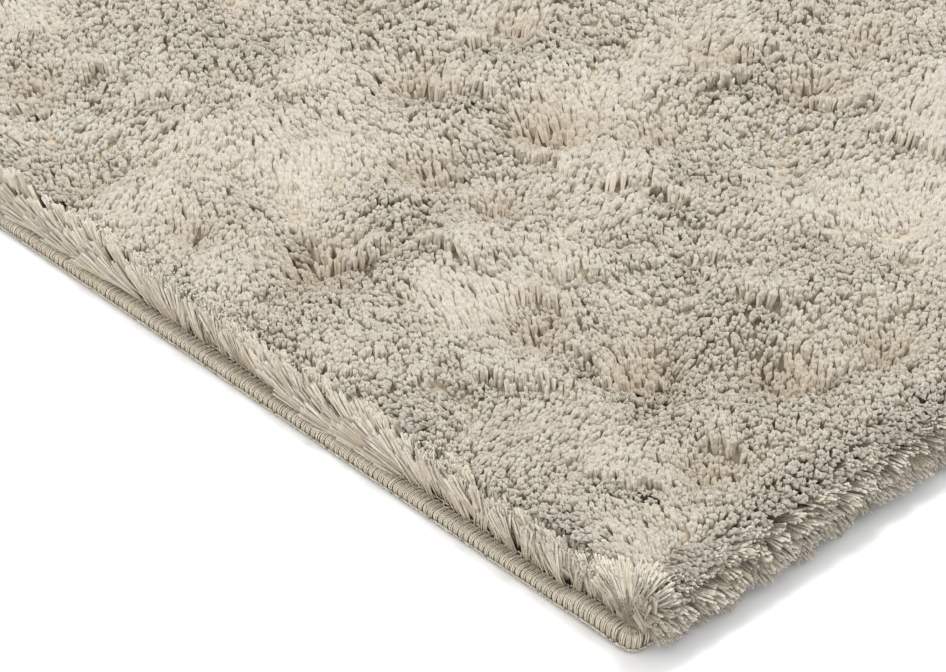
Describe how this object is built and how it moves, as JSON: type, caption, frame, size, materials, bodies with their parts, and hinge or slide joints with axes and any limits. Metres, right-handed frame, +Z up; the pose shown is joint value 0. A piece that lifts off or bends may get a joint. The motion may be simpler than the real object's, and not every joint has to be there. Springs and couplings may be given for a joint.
{
  "type": "shag rug",
  "caption": "Flat rectangular shag rug: a deep cut pile of soft locks on a woven backing, with overlocked long edges and turned-under short ends.",
  "frame": {"origin": "on the floor under the middle of the rug", "axes": "+X across the rug, +Y along its overlocked long edges, +Z up out of the pile"},
  "size_m": [0.6038, 0.9334, 0.0401],
  "materials": {
    "backing_cloth": "coarse woven, matt",
    "overlock_yarn": "twisted yarn, soft sheen",
    "pile_yarn": "fine fibres, matt with a soft sheen"
  },
  "bodies": {
    "root": {"backing": "backing_cloth", "overlock_left": "overlock_yarn", "overlock_right": "overlock_yarn", "pile": "pile_yarn"}
  },
  "joints": []
}
